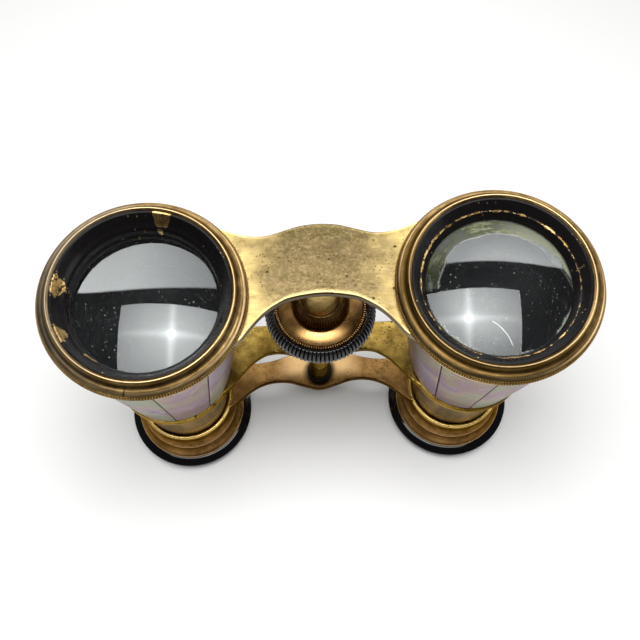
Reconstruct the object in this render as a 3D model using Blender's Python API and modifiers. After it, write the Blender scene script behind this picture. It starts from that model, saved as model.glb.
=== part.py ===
"""Opera glasses with mother-of-pearl barrels, standing on their eyecups.

The frame: +Z runs up the optical axes, +X across the two barrels, +Y away from the user's thumbs. The
origin is on the floor, midway between the two eyecups. Drawing sizes below are millimetres.

Three bodies move: the eyepiece carriage stands still, the objective frame slides on it along Z, and the
focus wheel turns in the objective frame.
"""
import math

import bmesh
import bpy

MM = 0.001

# Driving dimensions, in millimetres.
BARREL_SPACING = 62.0
FOCUS_Y = 4.3
GAP = 0.3
TURN_STEPS = 32
SMALL_STEPS = 24

# Heights, counted from the floor.
CUP_TOP = 4.9
CELL_TOP = 13.6
EYE_BRIDGE = (14.2, 16.0)
MID_BRIDGE = (36.1, 37.7)
TOP_BRIDGE = (71.9, 73.6)
PEARL_BOTTOM = 38.0
PEARL_TOP = TOP_BRIDGE[0] - GAP
BARREL_TOP = 73.4
LIP_TOP = 77.35
WHEEL_BOTTOM = 51.0
WHEEL_TOP = 60.7
RIM_BOTTOM = 53.7
RIM_TOP = 57.5
SPINDLE_TOP = 56.0

# Radii.
CUP_R = 14.2
CUP_THROAT_R = 7.4
DRAW_TUBE_R = 9.6
DRAW_TUBE_WALL = 0.7
COLLAR_R = 10.6
COLLAR_BORE_R = DRAW_TUBE_R + GAP
GUIDE_BORE_R = DRAW_TUBE_R + 0.15
GUIDE_WALL = 0.4
PEARL_R_BOTTOM = 12.2
PEARL_R_TOP = 17.1
PEARL_THICKNESS = 0.9
TUBE_WALL = 0.7
NECK_R = 11.05
MID_RING_R = 12.4
TOP_RING_R = 17.7
BEZEL_R = 18.4
LENS_R = 13.5
DOME_HEIGHT = 2.2
BELLY_DEPTH = 1.3
BASE_DEPTH = 0.8
CEMENT_GAP = 0.1
OCULAR_R = 8.3
WHEEL_R = 10.85
DISH_R = 8.6
SPINDLE_R = 2.2
TENON_R = 1.5
SLEEVE_BORE_R = SPINDLE_R + GAP
UPPER_SLEEVE_R = 3.9
LOWER_SLEEVE_R = 3.4

# The left objective is seated deeper in its cell than the right one.
LENS_DROP = {"left": 2.1, "right": 0.0}
PEARL_COUNT = 10
PEARL_SEAM_DEG = {"left": -50.0, "right": -130.0}
PEARL_SEAM_GAP = 0.3

SIDES = (("left", -1.0), ("right", 1.0))


def clear_scene():
    for old in list(bpy.data.objects):
        bpy.data.objects.remove(old, do_unlink=True)


def new_collection(name):
    collection = bpy.data.collections.new(name)
    bpy.context.scene.collection.children.link(collection)
    return collection


def new_material(name, color, roughness, metallic=0.0, transmission=0.0):
    material = bpy.data.materials.new(name)
    material.use_nodes = True
    shader = material.node_tree.nodes["Principled BSDF"]
    shader.inputs["Base Color"].default_value = (*color, 1.0)
    shader.inputs["Roughness"].default_value = roughness
    shader.inputs["Metallic"].default_value = metallic
    shader.inputs["Transmission Weight"].default_value = transmission
    return material


clear_scene()
PARTS = new_collection("opera_glasses")
CUTTERS = new_collection("cutters")

GILT = new_material("gilt_brass", (0.48, 0.33, 0.12), 0.32, 1.0)
BRONZE = new_material("dark_brass", (0.30, 0.18, 0.07), 0.38, 1.0)
DRAWN = new_material("drawn_brass", (0.36, 0.30, 0.18), 0.35, 1.0)
EBONITE = new_material("black_ebonite", (0.012, 0.011, 0.013), 0.16)
JAPAN = new_material("black_japan", (0.015, 0.014, 0.014), 0.4)
PEARL = new_material("mother_of_pearl", (0.72, 0.70, 0.70), 0.2)
GLASS = new_material("lens_glass", (0.9, 0.93, 0.92), 0.02, 0.0, 1.0)
STEEL = new_material("screw_steel", (0.25, 0.22, 0.18), 0.4, 1.0)


def new_axis(name, x, y, parent=None):
    """An empty that stands for a moving body; its children move with it."""
    axis = bpy.data.objects.new(name, None)
    axis.location = (x * MM, y * MM, 0.0)
    axis.parent = parent
    PARTS.objects.link(axis)
    return axis


CARRIAGE = new_axis("eyepiece_carriage", 0.0, 0.0)
FRAME = new_axis("objective_frame", 0.0, 0.0, CARRIAGE)
WHEEL = new_axis("focus_wheel", 0.0, FOCUS_Y, FRAME)


def place(part, body, x, y, material):
    """Put a part in a body, with its origin at (x, y) on the floor plane of the whole object."""
    part.data.materials.append(material)
    part.parent = body
    home = body.location if body is WHEEL else (0.0, 0.0, 0.0)
    part.location = (x * MM - home[0], y * MM - home[1], 0.0)
    PARTS.objects.link(part)
    return part


def shade(mesh):
    mesh.shade_smooth()
    mesh.set_sharp_from_angle(angle=math.radians(35.0))


def profile_mesh(name, profile, closed):
    """A chain of points in the XZ plane, as a mesh of edges."""
    mesh = bpy.data.meshes.new(name)
    points = [(radius * MM, 0.0, height * MM) for radius, height in profile]
    edges = [(i, i + 1) for i in range(len(points) - 1)]
    if closed:
        edges.append((len(points) - 1, 0))
    mesh.from_pydata(points, edges, [])
    return mesh


def add_screw(part, steps, angle=2.0 * math.pi):
    screw = part.modifiers.new("turn", "SCREW")
    screw.axis = "Z"
    screw.angle = angle
    screw.steps = steps
    screw.render_steps = steps
    screw.use_merge_vertices = True
    screw.merge_threshold = 0.00001
    screw.use_smooth_shade = True
    return screw


def turned(name, body, x, y, profile, material, steps=TURN_STEPS):
    """A turned piece. The profile runs down the outside and back up the bore.

    A profile that starts and ends on the axis makes a piece with no bore.
    """
    closed = profile[0][0] > 0.0
    part = bpy.data.objects.new(name, profile_mesh(name, profile, closed))
    place(part, body, x, y, material)
    add_screw(part, steps)
    return part


def ring_profile(outer, inner, bottom, top):
    return [(outer, top), (outer, bottom), (inner, bottom), (inner, top)]


def pearl_radius(height):
    slope = (PEARL_R_TOP - PEARL_R_BOTTOM) / (PEARL_TOP - PEARL_BOTTOM)
    return PEARL_R_BOTTOM + slope * (height - PEARL_BOTTOM)


def tube_radius(height):
    return pearl_radius(height) - PEARL_THICKNESS - GAP


def arc_points(cx, cy, radius, start_deg, end_deg, count):
    points = []
    for i in range(count + 1):
        angle = math.radians(start_deg + (end_deg - start_deg) * i / count)
        points.append((cx + radius * math.cos(angle), cy + radius * math.sin(angle)))
    return points


def smooth_run(points, steps):
    """A Catmull-Rom run through the given points."""
    ends = [points[0], *points, points[-1]]
    run = []
    for k in range(1, len(ends) - 2):
        before, start, end, after = ends[k - 1:k + 3]
        for i in range(steps):
            t = i / steps
            point = []
            for axis in (0, 1):
                tangent = end[axis] - before[axis]
                bend = 2 * before[axis] - 5 * start[axis] + 4 * end[axis] - after[axis]
                twist = 3 * start[axis] - before[axis] - 3 * end[axis] + after[axis]
                value = 2 * start[axis] + tangent * t + bend * t * t + twist * t ** 3
                point.append(0.5 * value)
            run.append(tuple(point))
    run.append(points[-1])
    return run


def mirrored(points):
    return [(-x, y) for x, y in reversed(points)]


def bridge_outline(near, far, ring_r):
    """The outline of a bridge with a ring at each end.

    near and far are the right half of the two long edges, from the middle outwards.
    """
    centre_x = BARREL_SPACING / 2
    near_run = smooth_run([(-near[1][0], near[1][1]), *near], 3)[3:]
    far_run = smooth_run([(-far[1][0], far[1][1]), *far], 3)[3:]
    near_x, near_y = near_run[-1]
    far_x, far_y = far_run[-1]
    start = math.degrees(math.atan2(near_y, near_x - centre_x))
    end = math.degrees(math.atan2(far_y, far_x - centre_x))
    around = arc_points(centre_x, 0.0, ring_r, start, end, 24)[1:-1]
    right = near_run + around + list(reversed(far_run))
    return right[1:] + mirrored(right)[:-1]


def add_spline(curve, points):
    spline = curve.splines.new("POLY")
    spline.points.add(len(points) - 1)
    for slot, (x, y) in zip(spline.points, points):
        slot.co = (x * MM, y * MM, 0.0, 1.0)
    spline.use_cyclic_u = True


def bridge(name, body, heights, near, far, ring_r, bore_r, hole_r, material):
    """A flat bridge with a ring at each end and, where hole_r is given, a hole on the focus axis."""
    bottom, top = heights
    curve = bpy.data.curves.new(name, "CURVE")
    curve.dimensions = "2D"
    curve.fill_mode = "BOTH"
    curve.extrude = (top - bottom) / 2 * MM
    add_spline(curve, bridge_outline(near, far, ring_r))
    for _, side in SIDES:
        centre_x = side * BARREL_SPACING / 2
        add_spline(curve, arc_points(centre_x, 0.0, bore_r, 0.0, 360.0, TURN_STEPS)[:-1])
    if hole_r:
        add_spline(curve, arc_points(0.0, FOCUS_Y, hole_r, 0.0, 360.0, SMALL_STEPS)[:-1])
    blank = bpy.data.objects.new(name + "_blank", curve)
    blank.location = (0.0, 0.0, (top + bottom) / 2 * MM)
    PARTS.objects.link(blank)
    mesh = evaluated_copy(blank, name)
    bpy.data.objects.remove(blank, do_unlink=True)
    part = bpy.data.objects.new(name, mesh)
    return place(part, body, 0.0, 0.0, material)


def evaluated_copy(source, name):
    """The source's evaluated mesh, in place and with its caps welded."""
    graph = bpy.context.evaluated_depsgraph_get()
    mesh = bpy.data.meshes.new_from_object(source.evaluated_get(graph))
    mesh.name = name
    mesh.transform(source.matrix_world)
    work = bmesh.new()
    work.from_mesh(mesh)
    bmesh.ops.remove_doubles(work, verts=work.verts, dist=0.01 * MM)
    bmesh.ops.recalc_face_normals(work, faces=work.faces)
    work.to_mesh(mesh)
    work.free()
    mesh.materials.clear()
    return mesh


# The eyepiece carriage: what stands still on the floor.

def eyecup_profile():
    """A rounded ebonite rim with a flat foot and a funnel for the eye."""
    return [
        (12.35, CUP_TOP), (13.3, 4.3), (14.0, 3.2), (CUP_R, 2.0), (13.9, 0.8), (13.1, 0.0),
        (11.2, 0.0), (9.6, 1.9), (8.1, 3.8), (CUP_THROAT_R, CUP_TOP),
    ]


def ocular_cell_profile():
    """A stepped brass cell: a neck around the draw tube, two coves, and a seat for the lens."""
    return [
        (10.2, CELL_TOP), (10.45, 11.4), (11.1, 9.5), (11.0, 9.0), (11.5, 7.4), (12.5, 5.9),
        (12.5, 5.2), (8.6, 5.2), (8.6, 9.0), (7.8, 9.0), (7.8, 9.5), (COLLAR_BORE_R, 9.5),
        (COLLAR_BORE_R, CELL_TOP),
    ]


def ocular_lens_profile():
    """A glass that is hollow on both sides, thin in the middle and thick at its rim."""
    bottom, top = 6.6, 8.7
    hollow = 0.75
    upper = [(OCULAR_R * k, top - hollow * (1 - k * k)) for k in (0.0, 0.5, 0.9)]
    lower = [(OCULAR_R * k, bottom + hollow * (1 - k * k)) for k in (0.9, 0.5, 0.0)]
    return upper + [(OCULAR_R, top), (OCULAR_R, bottom)] + lower


def make_eyepiece(side, x):
    turned(f"{side}_eyecup_ring", CARRIAGE, x, 0.0, eyecup_profile(), EBONITE)
    turned(f"{side}_ocular_cell", CARRIAGE, x, 0.0, ocular_cell_profile(), BRONZE)
    turned(f"{side}_ocular_lens", CARRIAGE, x, 0.0, ocular_lens_profile(), GLASS)
    retainer = ring_profile(OCULAR_R, 7.3, 5.4, 6.3)
    turned(f"{side}_ocular_retainer", CARRIAGE, x, 0.0, retainer, JAPAN)
    wall = ring_profile(DRAW_TUBE_R, DRAW_TUBE_R - DRAW_TUBE_WALL, 9.8, 50.0)
    turned(f"{side}_draw_tube", CARRIAGE, x, 0.0, wall, DRAWN)


def make_eyepiece_bridge():
    near = [
        (0.0, 0.1), (1.4, 0.3), (4.3, 1.15), (7.0, 2.0), (10.0, 2.2), (12.8, 1.7), (15.6, 0.4),
        (17.9, -1.4), (21.2, -4.1),
    ]
    far = [(0.0, 9.1), (3.5, 9.0), (7.0, 8.5), (10.0, 7.6), (12.9, 7.0), (15.7, 6.9), (23.2, 7.2)]
    bridge("eyepiece_bridge", CARRIAGE, EYE_BRIDGE, near, far, COLLAR_R, COLLAR_BORE_R,
           TENON_R + GAP, BRONZE)


def make_spindle():
    """The fixed screw that the focus wheel climbs, with its collar and its nut."""
    shoulder = EYE_BRIDGE[1] + GAP
    profile = [
        (0.0, SPINDLE_TOP), (SPINDLE_R - 0.4, SPINDLE_TOP), (SPINDLE_R, SPINDLE_TOP - 0.4),
        (SPINDLE_R, shoulder), (TENON_R, shoulder), (TENON_R, 12.6), (0.0, 12.6),
    ]
    turned("focus_spindle", CARRIAGE, 0.0, FOCUS_Y, profile, GILT, SMALL_STEPS)
    collar = [
        (2.9, shoulder + 0.8), (3.2, shoulder + 0.4), (3.2, shoulder), (SLEEVE_BORE_R, shoulder),
        (SLEEVE_BORE_R, shoulder + 0.8),
    ]
    turned("spindle_collar", CARRIAGE, 0.0, FOCUS_Y, collar, STEEL, SMALL_STEPS)
    nut_top = EYE_BRIDGE[0] - GAP
    nut = [(3.0, nut_top), (3.0, 12.8), (2.7, 12.4), (TENON_R + GAP, 12.4), (TENON_R + GAP, nut_top)]
    part = turned("spindle_nut", CARRIAGE, 0.0, FOCUS_Y, nut, STEEL, SMALL_STEPS)
    cut_slot(part, width=0.8, depth=0.7, floor=12.4)


def cut_slot(part, width, depth, floor):
    """Cut a screwdriver slot across the underside of a nut."""
    bpy.ops.mesh.primitive_cube_add(size=1.0, location=(0.0, 0.0, 0.0))
    cutter = bpy.context.object
    cutter.name = part.name + "_slot_cutter"
    cutter.scale = (8.0 * MM, width * MM, 2.0 * depth * MM)
    cutter.location = (0.0, FOCUS_Y * MM, floor * MM)
    for owner in list(cutter.users_collection):
        owner.objects.unlink(cutter)
    CUTTERS.objects.link(cutter)
    cutter.hide_render = True
    cutter.display_type = "WIRE"
    cut = part.modifiers.new("slot", "BOOLEAN")
    cut.operation = "DIFFERENCE"
    cut.object = cutter
    cut.solver = "EXACT"


# The objective frame: what slides along Z.

def make_barrel(side, x):
    """The cone under the pearl, with a straight neck at its lower end."""
    shoulder = PEARL_BOTTOM + 0.2
    profile = [
        (tube_radius(BARREL_TOP), BARREL_TOP), (tube_radius(shoulder) + 0.05, shoulder),
        (NECK_R, shoulder - 0.4), (NECK_R, 34.6), (NECK_R - 0.55, 34.6),
        (NECK_R - 0.55, shoulder), (tube_radius(BARREL_TOP) - TUBE_WALL, BARREL_TOP),
    ]
    turned(f"{side}_barrel_tube", FRAME, x, 0.0, profile, BRONZE)
    guide = ring_profile(GUIDE_BORE_R + GUIDE_WALL, GUIDE_BORE_R, 35.0, 52.0)
    turned(f"{side}_guide_tube", FRAME, x, 0.0, guide, DRAWN)
    lower = [
        (MID_RING_R - 0.1, 35.8), (MID_RING_R - 0.1, 35.3), (MID_RING_R - 0.4, 34.9),
        (NECK_R + GAP, 34.9), (NECK_R + GAP, 35.8),
    ]
    turned(f"{side}_lower_ring", FRAME, x, 0.0, lower, GILT)


def make_pearl(side, x, index):
    """One slab of mother of pearl, bent round the cone."""
    pitch = 2.0 * math.pi / PEARL_COUNT
    gap_angle = PEARL_SEAM_GAP / PEARL_R_BOTTOM
    name = f"{side}_pearl_{index + 1}"
    line = [(PEARL_R_TOP, PEARL_TOP), (PEARL_R_BOTTOM, PEARL_BOTTOM)]
    slab = bpy.data.objects.new(name, profile_mesh(name, line, False))
    place(slab, FRAME, x, 0.0, PEARL)
    slab.rotation_euler.z = math.radians(PEARL_SEAM_DEG[side]) + index * pitch + gap_angle / 2
    add_screw(slab, 4, pitch - gap_angle)
    skin = slab.modifiers.new("thickness", "SOLIDIFY")
    skin.thickness = PEARL_THICKNESS * MM
    skin.offset = -1.0
    skin.use_even_offset = True
    return slab


def bezel_profile(drop):
    """The objective bezel: knurled edge, bulge, cove and lip outside; cell and lens ledge inside."""
    ledge = 70.3 - drop
    return [
        (16.25, LIP_TOP), (16.55, 76.9), (16.9, 76.3), (17.6, 75.95), (18.15, 75.4),
        (BEZEL_R, 75.0), (BEZEL_R, 74.3), (18.1, 73.9), (14.35, 73.9), (14.35, ledge - 0.5),
        (12.9, ledge - 0.5), (12.9, ledge), (13.8, ledge), (13.8, 73.9), (14.5, 74.6),
        (15.65, 77.0), (15.85, LIP_TOP),
    ]


def lens_ring_profile(drop):
    """The blackened ring that screws down on the objective and shades it."""
    seat = 73.35 - drop
    outer = [(15.35, 77.0), (14.2, 74.6), (LENS_R, 73.9), (LENS_R, seat)]
    if drop:
        inner = [(13.1, seat), (12.05, seat + 0.6), (12.5, 72.5), (13.2, 72.9), (13.35, 74.2)]
    else:
        inner = [(13.2, seat), (12.85, seat + 0.35), (13.65, 75.2), (14.05, 75.45)]
    inner.append((15.05, 77.05))
    return outer + inner


def objective_profiles(drop):
    """The two glasses of an objective: a convex crown over a meniscus flint."""
    seat = 73.0 - drop
    joint = seat - 0.9
    floor = seat - 2.4
    fractions = (0.0, 0.4, 0.75)
    dome = [(LENS_R * k, seat + DOME_HEIGHT * (1 - k * k)) for k in fractions] + [(LENS_R, seat)]
    belly = [(LENS_R * k, joint - BELLY_DEPTH * (1 - k * k)) for k in (1.0, *fractions[::-1])]
    flint_top = [(x, z - CEMENT_GAP) for x, z in reversed(belly)]
    base = [(LENS_R * k, floor - BASE_DEPTH * (1 - k * k)) for k in (1.0, *fractions[::-1])]
    return dome + belly, flint_top + base


def make_objective(side, x):
    drop = LENS_DROP[side]
    turned(f"{side}_bezel", FRAME, x, 0.0, bezel_profile(drop), GILT)
    turned(f"{side}_lens_ring", FRAME, x, 0.0, lens_ring_profile(drop), JAPAN)
    crown, flint = objective_profiles(drop)
    turned(f"{side}_objective_crown", FRAME, x, 0.0, crown, GLASS)
    turned(f"{side}_objective_flint", FRAME, x, 0.0, flint, GLASS)


def make_top_bridge():
    near = [
        (0.0, -0.1), (5.3, -0.75), (8.0, -1.9), (10.6, -3.7), (13.0, -6.3), (14.5, -8.2),
        (15.9, -9.1),
    ]
    far = [
        (0.0, 13.65), (3.0, 13.4), (5.0, 12.9), (9.0, 11.7), (11.5, 11.5), (14.4, 12.0),
        (17.8, 13.3), (21.0, 14.6),
    ]
    bridge("top_bridge", FRAME, TOP_BRIDGE, near, far, TOP_RING_R, tube_radius(BARREL_TOP) + GAP,
           0.0, GILT)


def make_mid_bridge():
    near = [
        (0.0, -0.2), (3.0, 0.3), (6.0, 1.3), (8.7, 1.8), (11.4, 1.5), (13.6, 0.3), (15.2, -1.0),
        (17.8, -4.0), (19.0, -5.5), (20.8, -7.0),
    ]
    far = [(0.0, 9.3), (4.0, 9.0), (8.0, 8.2), (11.0, 8.0), (15.0, 8.0), (21.6, 8.1)]
    bridge("mid_bridge", FRAME, MID_BRIDGE, near, far, MID_RING_R, NECK_R + GAP, SLEEVE_BORE_R, GILT)


def make_sleeves():
    """The two fixed tubes on the focus axis, one above and one below the wheel."""
    upper = ring_profile(UPPER_SLEEVE_R, SLEEVE_BORE_R, WHEEL_TOP + GAP, TOP_BRIDGE[0] - GAP)
    turned("upper_sleeve", FRAME, 0.0, FOCUS_Y, upper, GILT, SMALL_STEPS)
    lower = ring_profile(LOWER_SLEEVE_R, SLEEVE_BORE_R, MID_BRIDGE[1] + GAP, WHEEL_BOTTOM - GAP)
    turned("lower_sleeve", FRAME, 0.0, FOCUS_Y, lower, GILT, SMALL_STEPS)


# The focus wheel.

def make_wheel():
    """A brass dish with a fluted boss, inside a black rim."""
    rim = [
        (WHEEL_R - 0.5, RIM_TOP), (WHEEL_R, RIM_TOP - 0.5), (WHEEL_R, RIM_BOTTOM + 0.5),
        (WHEEL_R - 0.5, RIM_BOTTOM), (DISH_R + GAP, RIM_BOTTOM), (DISH_R + GAP, RIM_TOP),
    ]
    turned("wheel_rim", WHEEL, 0.0, FOCUS_Y, rim, EBONITE)
    hub = [
        (4.7, WHEEL_TOP), (5.1, WHEEL_TOP - 0.6), (5.1, 56.6), (5.9, 55.8), (7.4, 56.5),
        (8.2, RIM_TOP), (DISH_R, RIM_TOP - 0.2), (DISH_R, RIM_BOTTOM), (4.6, RIM_BOTTOM - 0.6),
        (4.2, WHEEL_BOTTOM), (SLEEVE_BORE_R, WHEEL_BOTTOM), (SLEEVE_BORE_R, WHEEL_TOP),
    ]
    turned("wheel_hub", WHEEL, 0.0, FOCUS_Y, hub, GILT)


def main():
    for side, sign in SIDES:
        x = sign * BARREL_SPACING / 2
        make_eyepiece(side, x)
        make_barrel(side, x)
        for index in range(PEARL_COUNT):
            make_pearl(side, x, index)
        make_objective(side, x)
    make_eyepiece_bridge()
    make_mid_bridge()
    make_top_bridge()
    make_spindle()
    make_sleeves()
    make_wheel()
    for part in PARTS.objects:
        if part.type == "MESH":
            shade(part.data)


main()
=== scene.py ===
"""Opera glasses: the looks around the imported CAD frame. Metres, +Z up; drawing sizes are in millimetres.

Every CAD node that shows is replaced by a finer piece built on the same axis and to the same drawing sizes.
"""

import math
import random

import bmesh
import bpy
import numpy as np
from mathutils import Matrix, Vector


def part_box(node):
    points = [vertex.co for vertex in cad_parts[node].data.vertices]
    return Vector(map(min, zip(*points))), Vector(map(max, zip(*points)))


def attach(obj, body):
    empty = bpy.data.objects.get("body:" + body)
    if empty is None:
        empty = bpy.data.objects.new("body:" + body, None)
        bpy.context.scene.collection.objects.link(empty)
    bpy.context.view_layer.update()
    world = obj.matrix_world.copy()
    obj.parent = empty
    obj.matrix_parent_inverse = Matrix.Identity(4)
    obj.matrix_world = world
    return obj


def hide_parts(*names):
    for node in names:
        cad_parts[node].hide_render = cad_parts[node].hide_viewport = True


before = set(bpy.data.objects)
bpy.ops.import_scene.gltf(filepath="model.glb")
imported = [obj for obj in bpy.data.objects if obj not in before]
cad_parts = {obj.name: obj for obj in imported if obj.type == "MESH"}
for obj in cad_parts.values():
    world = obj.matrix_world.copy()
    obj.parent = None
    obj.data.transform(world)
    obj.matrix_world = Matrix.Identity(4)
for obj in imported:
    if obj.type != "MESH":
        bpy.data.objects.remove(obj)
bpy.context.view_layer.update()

MM = 0.001
SIDES = ("left", "right")
TURN = 2.0 * math.pi


# ---------------------------------------------------------------- sizes, from the frame

def node_mm(name):
    """A CAD node's lowest and highest corners, in millimetres."""
    low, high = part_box(name)
    return Vector(low) / MM, Vector(high) / MM


def node_centre(name):
    low, high = node_mm(name)
    return (low + high) / 2


AXIS_X = {side: node_centre(f"{side}_bezel").x for side in SIDES}
FOCUS_Y = node_centre("focus_spindle").y
BEZEL_R = node_mm("right_bezel")[1].x - AXIS_X["right"]
CUP_R = node_mm("right_eyecup_ring")[1].x - AXIS_X["right"]
WHEEL_R = node_mm("wheel_rim")[1].x
TUBE_R = node_mm("right_draw_tube")[1].x - AXIS_X["right"]
LIP_TOP = node_mm("right_bezel")[1].z
TOP_BRIDGE_Z, MID_BRIDGE_Z, EYE_BRIDGE_Z, PEARL_Z = (
    tuple(corner.z for corner in node_mm(name))
    for name in ("top_bridge", "mid_bridge", "eyepiece_bridge", "right_pearl_1")
)
LENS_DROP = {side: node_mm("right_bezel")[0].z - node_mm(f"{side}_bezel")[0].z for side in SIDES}
LENS_R = 13.5
LENS_Z = 73.0
GLUE_DEPTH = 0.9
GLUE_HOLLOW = -1.3
PEARL_R = (12.2, 17.1)
PEARL_COUNT = 10
PEARL_SEAM_DEG = {"left": -50.0, "right": -130.0}
BARREL_AXIS = {side: (AXIS_X[side], 0.0) for side in SIDES}
FOCUS_AXIS = (0.0, FOCUS_Y)


# ---------------------------------------------------------------- materials

SHADERS = ("Principled BSDF", "Emission", "Background")


def math_method(operation):
    """A method of Nodes for one operation of the math node."""
    return lambda self, *values, clamp=False: self.math(operation, *values, clamp=clamp)


class Nodes:
    """A short way to write the node tree of a material, a light or the world.

    place is the kind and the output of the node that the textures take their coordinates from. color is what
    paint() lays its tints over.
    """

    def __init__(self, owner, place=("TexCoord", "Object")):
        owner.use_nodes = True
        self.owner = owner
        self.tree = owner.node_tree
        self.shader = next(node for node in self.tree.nodes if node.name in SHADERS)
        self.place = self.add(*place)
        self.color = None

    def add(self, kind, output, inputs=None, **settings):
        """Makes a node and gives one output of it. inputs says what its sockets take."""
        node = self.tree.nodes.new(f"ShaderNode{kind}")
        for key, value in settings.items():
            setattr(node, key, value)
        for key, value in (inputs or {}).items():
            self.link(value, node.inputs[key])
        return node.outputs[output]

    def link(self, source, socket):
        """Feeds a socket from another socket, or sets it to a plain value or colour."""
        if isinstance(source, bpy.types.NodeSocket):
            self.tree.links.new(source, socket)
        elif source is not None:
            socket.default_value = (*source, 1.0) if socket.type == "RGBA" else source

    def set(self, name, value):
        self.link(value, self.shader.inputs[name])

    def where(self, vector):
        return self.place if vector is None else vector

    def math(self, operation, *values, clamp=False):
        return self.add("Math", 0, dict(enumerate(values)), operation=operation, use_clamp=clamp)

    plus = math_method("ADD")
    minus = math_method("SUBTRACT")
    times = math_method("MULTIPLY")
    over = math_method("DIVIDE")
    most = math_method("MAXIMUM")
    least = math_method("MINIMUM")

    def apart(self, *values):
        """How far two values are from each other."""
        return self.math("ABSOLUTE", self.minus(*values))

    def noise(self, scale, detail=4.0, rough=0.55, vector=None, distortion=0.0):
        return self.add("TexNoise", "Fac", {
            "Vector": self.where(vector), "Scale": scale, "Detail": detail, "Roughness": rough,
            "Distortion": distortion,
        })

    def wobble(self, amount, scale, detail=4.0, rough=0.55):
        """Noise on both sides of zero."""
        return self.times(self.minus(self.noise(scale, detail, rough), 0.5), amount)

    def cells(self, scale, flat):
        """Distance to the nearest of many scattered points. flat scatters them over the plan view only."""
        return self.add("TexVoronoi", "Distance", {"Vector": self.place, "Scale": scale},
                        voronoi_dimensions="2D" if flat else "3D")

    def stretched(self, scale, shift=None, vector=None):
        """Coordinates (the object's own unless given) scaled by a different amount on each axis."""
        inputs = {"Vector": self.where(vector), "Scale": scale, "Location": shift}
        return self.add("Mapping", "Vector", inputs)

    def between(self, value, low, high, low_out=0.0, high_out=1.0):
        """A smooth step from low_out, at low, to high_out, at high."""
        return self.add("MapRange", "Result", {
            "Value": value, "From Min": low, "From Max": high, "To Min": low_out, "To Max": high_out,
        }, interpolation_type="SMOOTHSTEP")

    def below(self, value, low, high):
        """1 up to low, and from there down to 0 at high."""
        return self.between(value, low, high, 1.0, 0.0)

    def mix(self, factor, first, second):
        return self.add("Mix", 2, {0: factor, 6: first, 7: second}, data_type="RGBA")

    def paint(self, factor, tint):
        """Lays a tint over the colour so far."""
        self.color = self.mix(factor, self.color, tint)

    def ramp(self, value, stops):
        color = self.add("ValToRGB", "Color", {"Fac": value})
        elements = color.node.color_ramp.elements
        while len(elements) < len(stops):
            elements.new(0.5)
        for element, (position, tint) in zip(elements, stops):
            element.position = position
            element.color = (*tint, 1.0)
        return color

    def combine(self, *values):
        return self.add("CombineXYZ", 0, dict(enumerate(values)))

    def split(self, vector=None):
        return self.add("SeparateXYZ", 0, {0: self.where(vector)}).node.outputs

    def polar(self, centre=None):
        """Radius in millimetres, angle in degrees and height in millimetres.

        They are about the piece's own axis, or about a centre that is given in millimetres.
        """
        shift = centre and (-centre[0] * MM, -centre[1] * MM, 0.0)
        x, y, z = self.split(centre and self.stretched((1.0, 1.0, 1.0), shift))
        radius = self.times(self.math("SQRT", self.plus(self.times(x, x), self.times(y, y))), 1.0 / MM)
        angle = self.math("DEGREES", self.math("ARCTAN2", y, x))
        return radius, angle, self.times(z, 1.0 / MM)

    def specks(self, scale, low, high, patches, uneven=None, flat=True):
        """Specks of a size from low to high, with uneven edges, only where the patches are."""
        distance = self.cells(scale, flat)
        if uneven is not None:
            distance = self.plus(distance, uneven)
        return self.times(self.below(distance, low, high), patches)

    def wear(self):
        """The piece's own attribute: low in corners, recesses and walls, which the materials paint dark,
        partly as dirt and partly as painted shade; 1 on an edge that hands have rubbed bright, painted bright
        partly for that rubbing and partly as a painted highlight.
        """
        return self.add("Attribute", "Fac", attribute_name="wear")

    def bump(self, height, strength, distance):
        """Bumps are chained: each call adds to the ones before it."""
        socket = self.shader.inputs["Normal"]
        before = socket.links[0].from_socket if socket.is_linked else None
        self.link(self.add("Bump", "Normal", {
            "Strength": strength, "Distance": distance, "Height": height, "Normal": before,
        }), socket)


def material_nodes(name):
    return Nodes(bpy.data.materials.new(name))


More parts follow.
